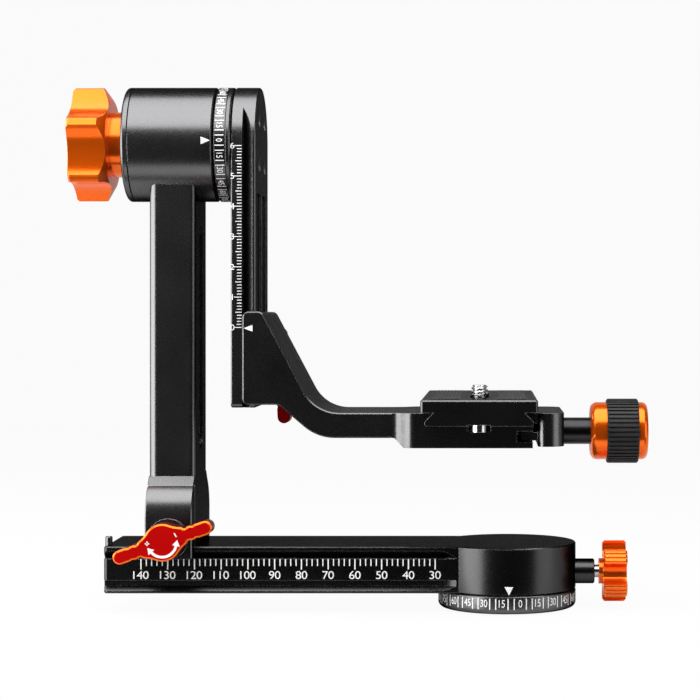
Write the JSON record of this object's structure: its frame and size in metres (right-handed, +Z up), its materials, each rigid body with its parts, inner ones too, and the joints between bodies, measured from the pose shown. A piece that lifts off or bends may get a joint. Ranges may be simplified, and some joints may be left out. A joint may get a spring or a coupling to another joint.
{
  "type": "gimbal tripod head",
  "caption": "Gimbal tripod head: panning base arm, sliding column, tilting swing arm and a height-adjustable cradle with a dovetail quick-release plate.",
  "frame": {"origin": "centre of the base disc's underside, on the pan axis, at the mouth of the tripod screw hole", "axes": "+Z up along the pan axis; the base arm runs towards -X; the scales and index marks face -Y"},
  "size_m": [0.2187, 0.1, 0.1981],
  "materials": {
    "black_anodised": "black anodised over a fine blasted surface, edges turned bright",
    "orange_anodised": "orange anodised, satin",
    "red_anodised": "red anodised, satin, with orange bevels",
    "steel": "turned steel",
    "black_steel": "blackened steel",
    "bronze": "sintered bearing bronze",
    "polymer": "off-white bearing plastic",
    "rubber": "black moulded rubber"
  },
  "bodies": {
    "base": {"base_disc": "black_anodised", "base_screws": "steel", "pan_spindle": "steel", "pan_thrust_washer": "polymer"},
    "base_arm": {"base_arm": "black_anodised", "pan_bush": "bronze", "pan_retaining_ring": "steel", "arm_stop_screw": "steel", "pan_lock_boss": "black_anodised"},
    "pan_lock": {"pan_lock_pad": "polymer"},
    "pan_knob": {"pan_knob": "orange_anodised", "pan_lock_stud": "steel"},
    "column": {"column": "black_anodised", "column_jaw_pins": "steel", "tilt_housing": "black_anodised", "housing_screws": "steel", "tilt_end_cap": "black_anodised", "tilt_bush_outer": "bronze", "tilt_bush_inner": "bronze"},
    "column_jaw": {"column_jaw": "black_anodised"},
    "column_lever": {"column_lever": "red_anodised", "column_lever_hub": "steel", "column_clamp_screw": "steel"},
    "tilt_brake": {"tilt_brake_disc": "polymer"},
    "tilt_knob": {"tilt_knob": "orange_anodised", "tilt_stud": "steel"},
    "swing": {"tilt_shaft": "steel", "tilt_shaft_nut": "steel", "tilt_scale_ring": "black_anodised", "swing_collar": "black_anodised", "swing_arm": "black_anodised", "swing_screws": "steel", "swing_stop_screw": "steel"},
    "cradle": {"cradle": "black_anodised", "cradle_jaw_pins": "steel", "qr_guide_pins": "steel"},
    "cradle_jaw": {"cradle_jaw": "black_anodised"},
    "cradle_lever": {"cradle_lever": "red_anodised", "cradle_lever_hub": "steel", "cradle_clamp_screw": "steel"},
    "qr_jaw": {"qr_jaw": "black_anodised"},
    "qr_knob": {"qr_knob": "orange_anodised", "qr_shaft": "black_steel", "qr_knob_grip": "rubber"},
    "qr_plate": {"qr_plate": "black_anodised", "plate_pads": "rubber", "safety_screws": "steel"},
    "camera_screw_washer": {"camera_screw_washer": "polymer"},
    "camera_screw": {"camera_screw": "steel"}
  },
  "joints": [
    {"name": "pan_turn", "type": "hinge", "parent": "base", "child": "base_arm", "pos_m": [0, 0, 0], "axis": [0, 0, 1], "continuous": true},
    {"name": "pan_pad_slide", "type": "slide", "parent": "base_arm", "child": "pan_lock", "axis": [1, 0, 0], "range_m": [0, 0.0008]},
    {"name": "pan_knob_turn", "type": "hinge", "parent": "pan_lock", "child": "pan_knob", "pos_m": [0.04, 0, 0.0131], "axis": [1, 0, 0], "range_deg": [0, 360]},
    {"name": "column_slide", "type": "slide", "parent": "base_arm", "child": "column", "axis": [1, 0, 0], "range_m": [-0.0135, 0.09]},
    {"name": "column_jaw_slide", "type": "slide", "parent": "column", "child": "column_jaw", "axis": [0, -1, 0], "range_m": [0, 0.0008]},
    {"name": "column_lever_turn", "type": "hinge", "parent": "column_jaw", "child": "column_lever", "pos_m": [-0.12605, -0.03, 0.028], "axis": [0, -1, 0], "range_deg": [0, 360]},
    {"name": "tilt_brake_slide", "type": "slide", "parent": "column", "child": "tilt_brake", "axis": [-1, 0, 0], "range_m": [0, 0.00125]},
    {"name": "tilt_knob_turn", "type": "hinge", "parent": "tilt_brake", "child": "tilt_knob", "pos_m": [-0.155, 0, 0.1763], "axis": [-1, 0, 0], "range_deg": [0, 360]},
    {"name": "tilt_turn", "type": "hinge", "parent": "column", "child": "swing", "pos_m": [-0.1, 0, 0.1763], "axis": [1, 0, 0], "continuous": true},
    {"name": "cradle_slide", "type": "slide", "parent": "swing", "child": "cradle", "axis": [0, 0, 1], "range_m": [0, 0.0678]},
    {"name": "cradle_jaw_slide", "type": "slide", "parent": "cradle", "child": "cradle_jaw", "axis": [0, 1, 0], "range_m": [0, 0.0008]},
    {"name": "cradle_lever_turn", "type": "hinge", "parent": "cradle_jaw", "child": "cradle_lever", "pos_m": [-0.0896, 0.03, 0.087], "axis": [0, 1, 0], "range_deg": [0, 360]},
    {"name": "qr_jaw_slide", "type": "slide", "parent": "cradle", "child": "qr_jaw", "axis": [1, 0, 0], "range_m": [0, 0.003]},
    {"name": "qr_knob_turn", "type": "hinge", "parent": "qr_jaw", "child": "qr_knob", "pos_m": [0.04, 0, 0.0668], "axis": [1, 0, 0], "range_deg": [0, 1080]},
    {"name": "plate_slide", "type": "slide", "parent": "cradle", "child": "qr_plate", "axis": [0, 1, 0], "range_m": [-0.0255, 0.0255]},
    {"name": "camera_screw_slide", "type": "slide", "parent": "qr_plate", "child": "camera_screw_washer", "axis": [0, 1, 0], "range_m": [-0.0074, 0.0454]},
    {"name": "camera_screw_turn", "type": "hinge", "parent": "camera_screw_washer", "child": "camera_screw", "pos_m": [-0.0104, -0.019, 0.08], "axis": [0, 0, 1], "continuous": true}
  ],
  "couplings": [
    {"joint": "pan_knob_turn", "follows": "pan_pad_slide", "rad_per_m": 7854},
    {"joint": "column_lever_turn", "follows": "column_jaw_slide", "rad_per_m": 7854},
    {"joint": "tilt_knob_turn", "follows": "tilt_brake_slide", "rad_per_m": 5026.5},
    {"joint": "cradle_lever_turn", "follows": "cradle_jaw_slide", "rad_per_m": 7854},
    {"joint": "qr_knob_turn", "follows": "qr_jaw_slide", "rad_per_m": 6283.2}
  ]
}
